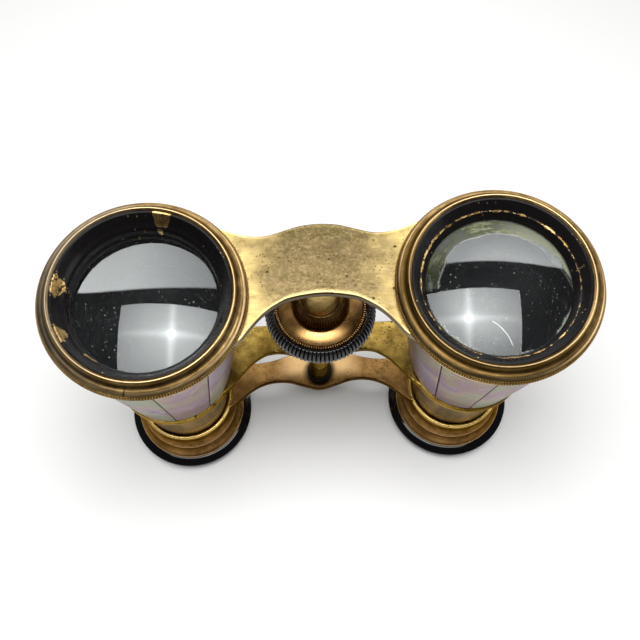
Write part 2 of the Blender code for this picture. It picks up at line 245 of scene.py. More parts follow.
def aged_brass(name, bright, dull, dark, rough=(0.26, 0.42), pits=0.5, turned=True, stain=False):
    """Old gilding on brass: dull and dark patches, pits, fine scratches, and edges rubbed bright. The bright
    edges are partly a painted highlight, and the dark corners and hollows partly painted shade.

    rough: the roughness where it is smoothest and where it is cloudiest. pits: how strong the pits are.
    turned adds the ring marks of a lathe. stain adds a painted highlight on the bridge beside the focus
    screw, on its far side, and a dark patch round the screw's foot.
    """
    n = material_nodes(name)
    n.color = n.mix(n.between(n.noise(90.0, 5.0, 0.6), 0.38, 0.66), bright, dull)
    n.paint(n.times(n.between(n.noise(620.0, 4.0, 0.62), 0.35, 0.7), 0.45), dark)
    edge = n.wear()
    # Edges with a high value are painted bright, partly rubbed gilding and partly painted highlight.
    n.paint(n.between(edge, 0.55, 0.9, 0.0, 0.8), bright)
    n.paint(n.between(edge, 0.93, 1.0), tuple(min(0.92, c * 1.25 + 0.08) for c in bright))
    # Low values are painted dark: partly dirt in the hollows, partly painted shade in corners, recesses and
    # walls.
    dirt_and_painted_shade = n.between(edge, 0.5, 0.05, 0.0, 0.92)
    n.paint(n.times(dirt_and_painted_shade, n.between(n.noise(380.0, 3.0), 0.2, 0.7, 0.65, 1.0)), dark)
    uneven = n.wobble(0.30, 1500.0, 3.0, 0.7)
    spots = n.specks(560.0, 0.05, 0.17, n.between(n.noise(150.0, 3.0), 0.46, 0.62), uneven, not turned)
    small = n.specks(1250.0, 0.10, 0.24, n.between(n.noise(260.0, 2.0), 0.44, 0.6), uneven, not turned)
    pitting = n.times(n.most(spots, n.times(small, 0.8)), pits)
    n.paint(pitting, (0.022, 0.012, 0.005))
    if stain:
        from_screw, _, _ = n.polar((0.0, FOCUS_Y))
        # Painted highlight: the bridge is painted lighter near the screw, on its far side.
        middle = n.between(from_screw, 11.0, 5.0, 0.0, 0.75)
        n.paint(n.times(middle, n.between(n.split()[1], 2.0 * MM, 5.0 * MM)), (0.68, 0.45, 0.21))
        # Painted darker round the foot of the screw.
        dark_round_screw = n.plus(from_screw, n.wobble(1.6, 330.0, 4.0, 0.6))
        n.paint(n.between(dark_round_screw, 2.7, 4.3, 0.97, 0.0), (0.010, 0.006, 0.003))
    n.set("Base Color", n.color)
    n.set("Metallic", 1.0)
    n.set("Specular Tint", (0.72, 0.55, 0.36))
    cloudy = n.between(n.noise(210.0, 5.0, 0.65), 0.3, 0.75, *rough)
    worn = n.plus(cloudy, n.times(dirt_and_painted_shade, 0.12))
    n.set("Roughness", n.plus(worn, n.times(pitting, 0.3), clamp=True))
    if turned:
        radius, _, height = n.polar()
        n.bump(n.noise(7.0, 3.0, 0.7, n.combine(radius, height)), 0.12, 0.00006)
    n.bump(n.noise(900.0, 3.0, 0.7, n.stretched((0.25, 1.6, 1.0))), 0.10, 0.00008)
    n.bump(n.minus(1.0, pitting), 0.35, 0.00012)
    return n.owner


def bezel_brass(source, name, shaded_side_deg, side_shade, crack_deg=None):
    """A copy of a brass, with painted shade darkening and greying one side of the bezel, and perhaps with one
    hairline crack.
    """
    n = Nodes(source.copy())
    n.owner.name = name
    n.color = n.shader.inputs["Base Color"].links[0].from_socket
    radius, angle, _ = n.polar()
    # Painted shade: the bezel is painted darker and greyer on the side that faces the given angle.
    facing = n.math("COSINE", n.math("RADIANS", n.minus(angle, shaded_side_deg)))
    n.paint(n.between(n.plus(facing, n.wobble(0.8, 240.0)), -0.1, 0.9, 0.0, 0.62), side_shade)
    if crack_deg is not None:
        off = n.math("ABSOLUTE", n.plus(n.minus(angle, crack_deg), n.wobble(3.0, 350.0, 3.0)))
        line = n.times(n.below(off, 0.25, 0.6), n.between(radius, 16.7, 16.9))
        n.paint(n.times(line, 0.85), (0.03, 0.015, 0.008))
    n.set("Base Color", n.color)
    return n.owner


def gilt_plate(name):
    """The top plate: brown brass in the middle, and a painted highlight that makes the gilding bright towards
    the two ends.
    """
    n = material_nodes(name)
    x, y, _ = n.split()
    across = n.plus(n.times(n.math("ABSOLUTE", x), 1.0 / MM), n.wobble(12.0, 120.0, 5.0, 0.65))
    # Painted highlight: its share grows towards the plate's two ends.
    ends = n.between(across, 5.5, 20.0)
    back = n.between(y, 7.0 * MM, 13.0 * MM)
    grain = n.noise(2100.0, 3.0, 0.75)
    brushed = n.noise(1300.0, 4.0, 0.7, n.stretched((0.22, 1.0, 1.0)))
    rubbed = n.between(n.noise(420.0, 6.0, 0.75, n.stretched((0.7, 1.3, 1.0))), 0.36, 0.68)
    n.color = n.mix(rubbed, (0.150, 0.110, 0.047), (0.200, 0.146, 0.070))
    warm = n.between(n.noise(95.0, 4.0, 0.6, n.stretched((0.6, 1.4, 1.0), (0.004, 0.011, 0.0))), 0.50, 0.68)
    n.paint(n.times(warm, 0.6), (0.31, 0.215, 0.118))
    n.paint(n.times(back, 0.5), (0.105, 0.084, 0.030))
    n.paint(ends, n.mix(rubbed, (0.80, 0.585, 0.215), (0.92, 0.705, 0.285)))
    n.paint(n.between(grain, 0.42, 0.72, 0.0, 0.42), (0.50, 0.38, 0.18))
    n.paint(n.between(brushed, 0.52, 0.75, 0.0, 0.45), (0.10, 0.07, 0.03))
    edge = n.wear()
    # Rounded edges are painted bright, partly as rubbing and partly as painted highlight; the walls are
    # painted dark as painted shade.
    n.paint(n.between(edge, 0.55, 1.0, 0.0, 0.6), (0.66, 0.50, 0.22))
    n.paint(n.between(edge, 0.45, 0.1, 0.0, 0.85), (0.085, 0.062, 0.035))
    spots = n.specks(360.0, 0.05, 0.14, n.between(n.noise(170.0, 2.0), 0.54, 0.64))
    spots = n.most(spots, n.specks(900.0, 0.08, 0.20, n.between(n.noise(230.0, 2.0), 0.50, 0.64, 0.0, 0.8)))
    n.paint(spots, (0.06, 0.038, 0.012))
    n.set("Base Color", n.color)
    n.set("Metallic", 1.0)
    cloudy = n.between(n.noise(240.0, 5.0, 0.65), 0.3, 0.75, 0.24, 0.33)
    n.set("Roughness", n.plus(cloudy, n.times(grain, 0.06)))
    n.bump(n.noise(1500.0, 3.0, 0.7, n.stretched((0.3, 1.4, 1.0))), 0.22, 0.00008)
    n.bump(n.noise(70.0, 2.0), 0.10, 0.0006)
    n.bump(n.minus(1.0, spots), 0.14, 0.0001)
    return n.owner


def chipped_japan(name, chips, worn_ring=None):
    """Black lacquer on brass, with bare brass where it has flaked off.

    chips: (middle angle, half width, inner radius, outer radius, raggedness, squareness) of each bare patch,
    in degrees and millimetres. worn_ring: (radius, half width) of an edge rubbed through all the way round.
    """
    n = material_nodes(name)
    radius, angle, _ = n.polar()
    ragged = n.minus(n.noise(900.0, 5.0, 0.75), 0.5)
    whole = n.times(n.specks(760.0, 0.05, 0.10, n.between(n.noise(170.0, 2.0), 0.59, 0.64)), 0.8)
    for middle, half, inner, outer, torn, square in chips:
        out = n.over(n.minus(radius, (inner + outer) / 2), (outer - inner) / 2)
        flare = n.plus(n.times(out, 0.28), 1.0)
        off = n.math("POWER", n.over(n.over(n.apart(angle, middle), half), flare), square)
        reach = n.math("POWER", n.math("ABSOLUTE", out), square)
        spread = n.math("POWER", n.plus(off, reach), 1.0 / square)
        whole = n.most(whole, n.below(n.plus(spread, n.times(ragged, torn)), 0.94, 1.0))
    if worn_ring:
        middle, half = worn_ring
        off = n.math("ABSOLUTE", n.plus(n.minus(radius, middle), n.wobble(0.5, 650.0, 4.0, 0.7)))
        broken = n.between(n.noise(480.0, 5.0, 0.8), 0.40, 0.62, -0.5, 1.3)
        far_side = n.between(n.apart(angle, 95.0), 85.0, 120.0, 0.45, 0.0)
        wide = n.times(n.plus(broken, far_side), half)
        whole = n.most(whole, n.below(n.minus(off, wide), -0.04, 0.02))
    dust = n.between(n.noise(1500.0, 2.0), 0.62, 0.74, 0.0, 0.05)
    black = n.mix(dust, (0.008, 0.007, 0.0075), (0.12, 0.11, 0.10))
    gold = n.mix(n.between(n.noise(900.0, 3.0), 0.35, 0.65), (0.80, 0.55, 0.22), (0.36, 0.20, 0.06))
    n.set("Base Color", n.mix(whole, black, gold))
    n.set("Metallic", n.times(whole, 0.95))
    n.set("Specular IOR Level", 0.13)
    n.set("Roughness", n.between(n.noise(300.0, 4.0), 0.3, 0.7, 0.20, 0.36))
    n.bump(n.minus(1.0, whole), 0.5, 0.00005)
    n.bump(n.noise(700.0, 3.0), 0.08, 0.00008)
    return n.owner


def ebonite(name):
    """Polished hard rubber with hairline scuffs and a little dust."""
    n = material_nodes(name)
    dust = n.between(n.noise(1300.0, 3.0), 0.58, 0.75, 0.0, 0.05)
    n.set("Base Color", n.mix(dust, (0.004, 0.0036, 0.005), (0.16, 0.15, 0.15)))
    n.set("Roughness", n.between(n.noise(260.0, 5.0, 0.7), 0.3, 0.75, 0.04, 0.13))
    n.set("IOR", 1.55)
    n.bump(n.noise(1000.0, 3.0, 0.7, n.stretched((1.5, 0.3, 1.0))), 0.05, 0.00005)
    return n.owner


def mother_of_pearl(name):
    """Polished shell: wavy layers, laid down as it grew, in grey, lilac, rose and green, with light and dark
    bands that are partly painted reflection.

    Each slab's own attribute, grain, shifts its pattern.
    """
    n = material_nodes(name)
    grain = n.add("Attribute", "Fac", attribute_name="grain")
    shift = n.combine(*(n.times(grain, share) for share in (0.031, 0.017, 0.023)))
    place = n.add("VectorMath", 0, {0: n.place, 1: shift}, operation="ADD")
    clouds = n.noise(75.0, 3.0, 0.5, place, 1.2)
    n.color = n.ramp(clouds, [
        (0.30, (0.106, 0.132, 0.090)), (0.42, (0.152, 0.150, 0.114)), (0.51, (0.210, 0.158, 0.134)),
        (0.60, (0.190, 0.182, 0.142)), (0.72, (0.112, 0.138, 0.098)),
    ])
    # Light and dark bands with a thin dark line between: partly the shell's own banding, partly painted
    # reflection.
    growth_and_painted_reflection = n.noise(150.0, 3.0, 0.5, n.stretched((0.16, 0.16, 1.0), None, place), 0.5)
    n.paint(n.between(growth_and_painted_reflection, 0.54, 0.47, 0.0, 0.8), (0.034, 0.040, 0.030))
    n.paint(n.between(growth_and_painted_reflection, 0.56, 0.66, 0.0, 0.5), (0.31, 0.295, 0.255))
    n.paint(n.between(n.apart(growth_and_painted_reflection, 0.545), 0.003, 0.013, 0.85, 0.0), (0.020, 0.018, 0.014))
    layers = n.noise(170.0, 6.0, 0.62, place, 2.5)
    bands = n.math("PINGPONG", n.times(layers, 9.0), 1.0)
    n.paint(n.times(bands, 0.11), (0.62, 0.57, 0.56))
    n.paint(n.between(n.wear(), 0.0, 0.45, 0.8, 0.0), (0.07, 0.055, 0.045))
    n.set("Base Color", n.color)
    n.set("Roughness", n.between(layers, 0.3, 0.7, 0.26, 0.42))
    n.set("Metallic", 0.1)
    n.set("Specular IOR Level", 0.16)
    n.set("Thin Film Thickness", n.between(clouds, 0.3, 0.7, 370.0, 480.0))
    n.set("Thin Film IOR", 1.47)
    n.set("Coat Weight", 0.16)
    n.set("Coat IOR", 1.5)
    n.set("Coat Roughness", 0.025)
    n.bump(bands, 0.04, 0.0001)
    return n.owner


def lens_glass(name, index, rim_stain=False):
    """Old optical glass with dust specks and a faint bluish film. index is its refractive index.

    rim_stain adds the right front glass's own marks: a stained, dull ring at its rim, and a curved scratch.
    """
    n = material_nodes(name)
    uneven = n.wobble(0.12, 2600.0, 2.0)
    dust = n.specks(640.0, 0.03, 0.075, n.between(n.noise(260.0, 2.0), 0.47, 0.56, 0.0, 0.8), uneven)
    fine = n.specks(1500.0, 0.05, 0.12, n.between(n.noise(210.0, 2.0), 0.48, 0.64, 0.0, 0.35), uneven)
    dust = n.most(dust, fine)
    film = n.between(n.noise(60.0, 3.0, 0.6), 0.3, 0.8, 0.006, 0.018)
    n.color = n.mix(dust, (0.66, 0.68, 0.70), (0.46, 0.45, 0.40))
    haze = n.plus(n.times(dust, 0.6), film)
    rough = n.times(dust, 0.4)
    n.set("IOR", index)
    if rim_stain:
        stain, tone, streaks, dimmed = rim_band(n)
        n.paint(stain, tone)
        haze = n.plus(haze, n.times(stain, 0.72), clamp=True)
        rough = n.most(rough, n.times(stain, n.between(streaks, 0.3, 0.7, 0.30, 0.12)))
        n.set("IOR", n.minus(index, n.plus(n.times(stain, 0.42), n.times(dimmed, 0.16))))
        mark = scratch_arc(n)
        n.paint(mark, (0.85, 0.88, 0.88))
        haze = n.most(haze, n.times(mark, 0.55))
        n.bump(n.times(streaks, stain), 0.25, 0.0002)
    n.set("Base Color", n.color)
    n.set("Transmission Weight", n.minus(1.0, haze))
    n.set("Specular Tint", (0.94, 0.99, 0.985))
    n.set("Roughness", rough)
    return n.owner


def rim_band(n):
    """The stained ring: its strength, its colour with painted shade and a painted highlight laid over it, its
    streaks, and the dimmed glass beside it.
    """
    radius, angle, _ = n.polar()
    around = n.apart(angle, 113.0)
    spread = n.between(around, 45.0, 132.0, 10.0, 12.9)
    inside = n.minus(n.plus(radius, n.wobble(3.4, 130.0, 5.0, 0.65)), spread)
    fine = n.noise(1.1, 7.0, 0.78, n.combine(n.times(radius, 1.7), n.times(angle, 0.05)), 0.35)
    streaks = n.plus(n.times(fine, 0.65), n.times(n.noise(170.0, 7.0, 0.7), 0.35))
    stain = n.times(n.between(inside, -0.1, 0.35), n.between(streaks, 0.40, 0.5, 0.82, 1.0))
    dimmed = n.between(n.minus(radius, spread), -5.0, -0.4)
    tone = n.ramp(streaks, [
        (0.41, (0.008, 0.010, 0.003)), (0.475, (0.048, 0.056, 0.018)), (0.525, (0.125, 0.138, 0.056)),
        (0.60, (0.42, 0.44, 0.26)),
    ])
    # Painted shade darkens the stain towards angles 120 to 165, and a painted highlight lightens it towards
    # 55 degrees.
    tone = n.mix(n.between(angle, 120.0, 165.0, 0.0, 0.88), tone, (0.016, 0.019, 0.006))
    tone = n.mix(n.between(angle, 95.0, 55.0, 0.0, 0.5), tone, (0.50, 0.52, 0.35))
    bright_edge = n.times(n.between(inside, -0.02, 0.08), n.below(inside, 0.10, 0.26))
    tone = n.mix(n.times(bright_edge, n.below(around, 20.0, 60.0)), tone, (0.78, 0.80, 0.66))
    return stain, tone, streaks, dimmed


SCRATCH_CENTRE = (-6.8, -13.7)
SCRATCH_R = 8.3
SCRATCH_DEG = (15.0, 62.0)


def scratch_arc(n):
    """One curved scratch, towards the near edge of the glass."""
    radius, angle, _ = n.polar(SCRATCH_CENTRE)
    line = n.below(n.apart(radius, SCRATCH_R), 0.05, 0.13)
    low, high = SCRATCH_DEG
    run = n.times(n.between(angle, low, low + 5.0), n.below(angle, high - 12.0, high))
    return n.times(n.times(line, run), n.between(n.noise(700.0, 2.0), 0.2, 0.5, 0.5, 1.0))


def balsam(name):
    """Old cement at a glass's rim, gone green and yellow where it has let go, with a ragged inner edge."""
    n = material_nodes(name)
    radius, angle, _ = n.polar()
    spread = n.between(n.apart(angle, 100.0), 60.0, 120.0, 10.7, 13.2)
    inside = n.minus(n.plus(radius, n.wobble(3.0, 110.0, 4.0, 0.6)), spread)
    streaks = n.noise(300.0, 5.0, 0.7, None, 2.0)
    n.color = n.ramp(streaks, [
        (0.32, (0.03, 0.035, 0.016)), (0.46, (0.10, 0.11, 0.05)), (0.58, (0.22, 0.24, 0.13)),
        (0.72, (0.50, 0.52, 0.36)),
    ])
    rim = n.times(n.between(inside, 0.0, 0.10), n.below(inside, 0.12, 0.35))
    n.paint(n.times(rim, n.between(streaks, 0.4, 0.55)), (0.75, 0.76, 0.60))
    n.set("Base Color", n.color)
    n.set("Roughness", 0.35)
    n.set("Alpha", n.times(n.between(inside, -0.05, 0.12), n.between(streaks, 0.25, 0.5, 0.35, 0.95)))
    n.bump(streaks, 0.5, 0.0003)
    return n.owner


def drawn_brass(name):
    """A drawn tube: greyed brass with lengthwise rubbing and fine rings."""
    n = material_nodes(name)
    rub = n.noise(260.0, 4.0, 0.6, n.stretched((1.0, 1.0, 0.12)))
    rings = n.noise(900.0, 2.0, 0.6, n.stretched((0.05, 0.05, 1.0)))
    n.color = n.mix(n.between(rub, 0.40, 0.62), (0.050, 0.031, 0.012), (0.27, 0.175, 0.062))
    n.paint(n.between(n.noise(120.0, 4.0), 0.46, 0.66, 0.0, 0.6), (0.075, 0.048, 0.020))
    n.set("Base Color", n.color)
    n.set("Metallic", 1.0)
    n.set("Specular Tint", (0.93, 0.84, 0.70))
    n.set("Roughness", n.between(rings, 0.3, 0.7, 0.24, 0.42))
    n.bump(rings, 0.12, 0.00005)
    return n.owner


def lampblack(name):
    n = material_nodes(name)
    soot = n.noise(500.0, 4.0)
    n.set("Base Color", n.mix(soot, (0.006, 0.006, 0.006), (0.018, 0.017, 0.016)))
    n.set("Roughness", n.between(soot, 0.3, 0.7, 0.6, 0.85))
    n.set("Specular IOR Level", 0.1)
    return n.owner


def old_steel(name):
    n = material_nodes(name)
    rust = n.between(n.noise(500.0, 5.0), 0.45, 0.62)
    n.set("Base Color", n.mix(rust, (0.035, 0.026, 0.02), (0.02, 0.012, 0.008)))
    n.set("Metallic", 0.9)
    n.set("Roughness", n.between(rust, 0.0, 1.0, 0.45, 0.7))
    n.bump(n.noise(800.0, 3.0), 0.2, 0.0001)
    return n.owner


PLATE = gilt_plate("gilt_plate")
TURNED = aged_brass("gilt_turned", (0.48, 0.320, 0.130), (0.165, 0.100, 0.034), (0.036, 0.019, 0.007),
                    (0.29, 0.48))
BEZEL_BRASS = {
    "left": bezel_brass(TURNED, "gilt_left_bezel", 165.0, (0.20, 0.175, 0.135), crack_deg=-98.0),
    "right": bezel_brass(TURNED, "gilt_right_bezel", -140.0, (0.105, 0.060, 0.014)),
}
WHEEL_GILT = aged_brass("gilt_wheel", (0.55, 0.33, 0.125), (0.24, 0.115, 0.030), (0.026, 0.011, 0.004),
                        (0.24, 0.40), 0.25)
OLIVE = aged_brass("gilt_olive", (0.60, 0.415, 0.105), (0.15, 0.088, 0.014), (0.045, 0.023, 0.004),
                   pits=1.0, turned=False)
BRONZE = aged_brass("bronze_plate", (0.27, 0.152, 0.050), (0.115, 0.057, 0.015), (0.032, 0.013, 0.004),
                    pits=0.7, turned=False, stain=True)
BRONZE_TURNED = aged_brass("bronze_turned", (0.29, 0.162, 0.055), (0.130, 0.066, 0.021),
                           (0.034, 0.014, 0.004), (0.24, 0.40), 0.8)
COLUMN_GILT = aged_brass("gilt_column", (0.66, 0.50, 0.22), (0.40, 0.29, 0.115), (0.035, 0.018, 0.005),
                         pits=0.3)
SCREW_GILT = aged_brass("gilt_screw", (0.33, 0.22, 0.062), (0.15, 0.09, 0.020), (0.012, 0.007, 0.002),
                        (0.30, 0.46), 0.3)
RING_GILT = aged_brass("gilt_ragged_ring", (0.62, 0.425, 0.110), (0.22, 0.125, 0.024), (0.05, 0.024, 0.005),
                       (0.20, 0.36), 0.6)
DRAWN = drawn_brass("drawn_tube")
EBONITE = ebonite("black_ebonite")
PEARL = mother_of_pearl("mother_of_pearl")
GLASS_INDEX = 1.85
CEMENTED_INDEX = 1.03
GLASS = lens_glass("lens_glass", GLASS_INDEX)
GLASS_STAINED = lens_glass("lens_glass_stained", GLASS_INDEX, rim_stain=True)
CEMENTED = lens_glass("lens_glass_cemented", CEMENTED_INDEX)
BALSAM = balsam("old_balsam")
SOOT = lampblack("lampblack")
STEEL = old_steel("old_steel")
JAPAN = {
    "left": chipped_japan("japan_left", [
        (77.0, 6.2, 13.75, 16.4, 0.3, 8.0), (78.0, 2.4, 13.15, 13.5, 1.2, 2.0),
        (171.0, 6.0, 13.6, 15.5, 6.5, 2.0), (-153.0, 5.5, 14.0, 15.7, 3.4, 2.0),
        (-128.0, 5.0, 13.2, 13.7, 4.0, 2.0),
    ]),
    "right": chipped_japan("japan_right", [
        (8.0, 0.5, 13.9, 14.8, 0.6, 4.0), (-88.0, 4.0, 13.5, 13.9, 1.6, 2.0),
    ], (13.85, 0.13)),
}


# ---------------------------------------------------------------- mesh helpers

def rounded(points, radius=0.1, steps=3):
    """A closed profile with its corners rounded. A point may carry its own radius and its wear.

    Each point is (r, z), (r, z, corner radius) or (r, z, corner radius, wear).
    """
    full = [(r, z, *more, *(radius, 0.5)[len(more):]) for r, z, *more in points]
    result = []
    for i, (r, z, corner, wear) in enumerate(full):
        here = Vector((r, z))
        before = Vector(full[i - 1][:2]) - here
        after = Vector(full[(i + 1) % len(full)][:2]) - here
        reach = min(corner, before.length * 0.48, after.length * 0.48)
        if reach < 1e-4:
            result.append((r, z, wear))
            continue
        start = here + before.normalized() * reach
        end = here + after.normalized() * reach
        for k in range(steps + 1):
            t = k / steps
            spot = start * (1 - t) ** 2 + here * 2 * t * (1 - t) + end * t * t
            result.append((spot.x, spot.y, wear))
    return result


CURVE_STEPS = 6


def curve_run(points):
    """A Catmull-Rom curve through the points, in CURVE_STEPS steps from each to the next."""
    ends = [points[0], *points, points[-1]]
    run = []
    for k in range(1, len(ends) - 2):
        p0, p1, p2, p3 = (np.array(p, float) for p in ends[k - 1:k + 3])
        for i in range(CURVE_STEPS):
            t = i / CURVE_STEPS
            value = 2 * p1 + (p2 - p0) * t + (2 * p0 - 5 * p1 + 4 * p2 - p3) * t * t
            value = 0.5 * (value + (3 * p1 - p0 - 3 * p2 + p3) * t ** 3)
            run.append(tuple(value))
    run.append(tuple(points[-1]))
    return run


def new_object(name, data):
    piece = bpy.data.objects.new(name, data)
    bpy.context.scene.collection.objects.link(piece)
    return piece


def finish_mesh(name, work, material, sharp=38.0, smooth=True):
    """Turns a bmesh in millimetres into a shaded object in metres."""
    bmesh.ops.scale(work, vec=(MM, MM, MM), verts=work.verts)
    bmesh.ops.recalc_face_normals(work, faces=work.faces)
    mesh = bpy.data.meshes.new(name)
    work.to_mesh(mesh)
    work.free()
    if smooth:
        mesh.shade_smooth()
        mesh.set_sharp_from_angle(angle=math.radians(sharp))
    mesh.materials.append(material)
    return new_object(name, mesh)


# The per-point value that the materials paint bright or dark: rubbing and dirt, and also painted highlight
# and painted shade.
def wear_and_shade_layer(work):
    return work.verts.layers.float.get("wear") or work.verts.layers.float.new("wear")


def lathe(work, profile, segments=192, closed=True, shape=None):
    """Adds a turned solid to a bmesh. shape(angle, r, z) may move each point.

    It gives a new r and z, and if it gives a third value, that is the point's new wear.
    """
    layer = wear_and_shade_layer(work)
    rings = []
    for r, z, wear in profile:
        if r < 1e-6:
            vert = work.verts.new((0.0, 0.0, z))
            vert[layer] = wear
            rings.append([vert])
            continue
        ring = []
        for k in range(segments):
            angle = TURN * k / segments
            radius, height, *own_wear_and_shade = shape(angle, r, z) if shape else (r, z)
            vert = work.verts.new((radius * math.cos(angle), radius * math.sin(angle), height))
            vert[layer] = own_wear_and_shade[0] if own_wear_and_shade else wear
            ring.append(vert)
        rings.append(ring)
    pairs = list(zip(rings, rings[1:]))
    if closed:
        pairs.append((rings[-1], rings[0]))
    for upper, lower in pairs:
        for k in range(segments):
            corners = [
                upper[k % len(upper)], upper[(k + 1) % len(upper)],
                lower[(k + 1) % len(lower)], lower[k % len(lower)],
            ]
            distinct = list(dict.fromkeys(corners))
            if len(distinct) > 2:
                work.faces.new(distinct)


def turned(name, profile, axis, material, segments=192, closed=True, shape=None, sharp=38.0):
    """A turned piece on an upright axis, which is given by its x and y in millimetres."""
    work = bmesh.new()
    lathe(work, profile, segments, closed, shape)
    piece = finish_mesh(name, work, material, sharp)
    piece.location = (axis[0] * MM, axis[1] * MM, 0.0)
    return piece


def second_material(piece, material, chosen):
    """Gives a piece a second material on the faces that chosen picks."""
    piece.data.materials.append(material)
    for face in piece.data.polygons:
        if chosen(face):
            face.material_index = 1


def from_axis(face, x=0.0):
    """How far a face's middle is from the upright axis at x or at -x, in millimetres."""
    return math.hypot(abs(face.center.x) / MM - x, face.center.y / MM)


def settle(piece, body, slot, *nodes):
    """Rides a piece on its body, in place of its CAD nodes. slot is not used."""
    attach(piece, body)
    if nodes:
        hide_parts(*nodes)


# ---------------------------------------------------------------- the barrels

def make_bezel(side):
    """Knurled edge, bulge, cove and thin bright lip; inside, a cone down to the lens ring."""
    drop = LENS_DROP[side]
    ledge = 70.3 - drop
    # The last value of each point paints the lip and the bulge bright, partly as rubbing and partly as
    # painted highlight, and the cove dark, partly as dirt and partly as painted shade.
    edge = [
        (15.86, LIP_TOP - 0.16, 0.1, 0.5), (15.98, LIP_TOP, 0.12, 1.0), (16.16, LIP_TOP, 0.12, 1.0),
        (16.4, LIP_TOP - 0.35, 0.12, 0.3), (16.5, 76.5, 0.3, 0.0), (16.85, 76.12, 0.4, 0.1),
        (17.35, 76.02, 0.35, 0.3), (17.75, 75.82, 0.5, 1.0), (18.05, 75.4, 0.3, 0.3),
        (18.1, 75.15, 0.04, 0.0), (18.1, 74.4, 0.04, 0.0), (18.3, 74.36, 0.05, 0.2),
        (18.3, 74.1, 0.1, 0.3), (18.1, 73.95, 0.1, 0.1),
    ]
    inside = [
        (14.35, 73.95, 0.05, 0.0), (14.35, ledge - 0.5, 0.05, 0.0), (12.9, ledge - 0.5, 0.05, 0.0),
        (12.9, ledge, 0.05, 0.0), (13.8, ledge, 0.05, 0.0), (13.8, 73.9, 0.05, 0.0),
        (14.5, 74.6, 0.05, 0.0), (15.62, 77.0, 0.1, 0.2),
    ]
    profile = rounded(edge + inside, steps=4)
    piece = turned(f"{side}_bezel_body", profile, BARREL_AXIS[side], BEZEL_BRASS[side], 256)
    piece.visible_glossy = False
    settle(piece, "objective_frame", "gilt_brass", f"{side}_bezel")

    teeth = 240
    tooth_foot = 18.15
    tooth_depth = 0.24

    def knurl(angle, r, z):
        if r < tooth_foot:
            return r, z
        valley = 0.5 + 0.5 * math.cos(teeth * angle)
        return r - tooth_depth * valley, z - tooth_depth / 2 * valley, 1.0 - valley

    band = [
        (18.18, 75.12, 0.06, 0.8), (BEZEL_R - 0.02, 74.85, 0.08, 0.8), (BEZEL_R - 0.02, 74.5, 0.05, 0.6),
        (18.05, 74.42, 0.0, 0.0), (18.05, 75.1, 0.0, 0.0),
    ]
    ring = turned(f"{side}_bezel_knurl", rounded(band, 0.03), BARREL_AXIS[side], TURNED, teeth * 5,
                  shape=knurl, sharp=60.0)
    settle(ring, "objective_frame", "gilt_brass")


def make_lens_ring(side):
    """The black sunshade: a cone down to the glass, with one more step where the glass is deeper."""
    drop = LENS_DROP[side]
    seat = 73.35 - drop
    outer = [(15.56, 77.02, 0.05), (14.2, 74.62), (LENS_R, 73.9), (LENS_R, seat)]
    if drop > 1.0:
        inner = [
            (13.1, seat), (12.78, seat + 0.1, 0.05), (12.95, 72.4, 0.2), (13.15, 72.55, 0.05),
            (13.2, 72.9, 0.1), (13.3, 73.9, 0.2), (13.55, 74.5, 0.2), (14.1, 75.1, 0.5), (14.7, 76.2, 0.5),
        ]
    else:
        inner = [(13.2, seat), (12.85, seat + 0.35, 0.1), (13.65, 75.2, 0.12), (14.05, 75.42, 0.12)]
    inner.append((15.2, 77.1, 0.1))
    piece = turned(f"{side}_sunshade", rounded(outer + inner, 0.05), BARREL_AXIS[side], JAPAN[side])
    piece.visible_glossy = False
    settle(piece, "objective_frame", "black_japan", f"{side}_lens_ring")


def dome(radius, height, base, count=14):
    """From the axis out to the rim of a shallow dome. A negative height is a hollow."""
    return [
        (radius * k / count, base + height * (1 - (k / count) ** 2), 0.5) for k in range(count + 1)
    ]


def make_balsam():
    """The ring of cement that has let go between the two glasses of the right lens."""
    thickness = 0.04
    sheet = dome(LENS_R - 0.1, GLUE_HOLLOW, LENS_Z - GLUE_DEPTH - 0.03)[9:]
    lower = [(r, z - thickness, wear) for r, z, wear in reversed(sheet)]
    piece = turned("right_balsam_ring", sheet + lower, BARREL_AXIS["right"], BALSAM)
    settle(piece, "objective_frame", "lens_glass")


def make_objective(side):
    """A domed front glass and a rear glass. Inside the front one, the glued face hardly bends light."""
    top = LENS_Z - LENS_DROP[side]
    front = dome(LENS_R, 2.2, top)
    glued = dome(LENS_R, GLUE_HOLLOW, top - GLUE_DEPTH)[::-1]
    glass = GLASS_STAINED if side == "right" else GLASS
    crown = turned(f"{side}_front_glass", front + glued, BARREL_AXIS[side], glass, 128, closed=False)
    second_material(crown, CEMENTED, lambda face: face.normal.z < 0.0)
    settle(crown, "objective_frame", "lens_glass", f"{side}_objective_crown")
    front = [(r, z - 0.1, wear) for r, z, wear in reversed(glued)]
    back = dome(LENS_R, -0.8, top - 2.4)[::-1]
    flint = turned(f"{side}_rear_glass", front + back, BARREL_AXIS[side], CEMENTED, 128, closed=False)
    settle(flint, "objective_frame", "lens_glass", f"{side}_objective_flint")


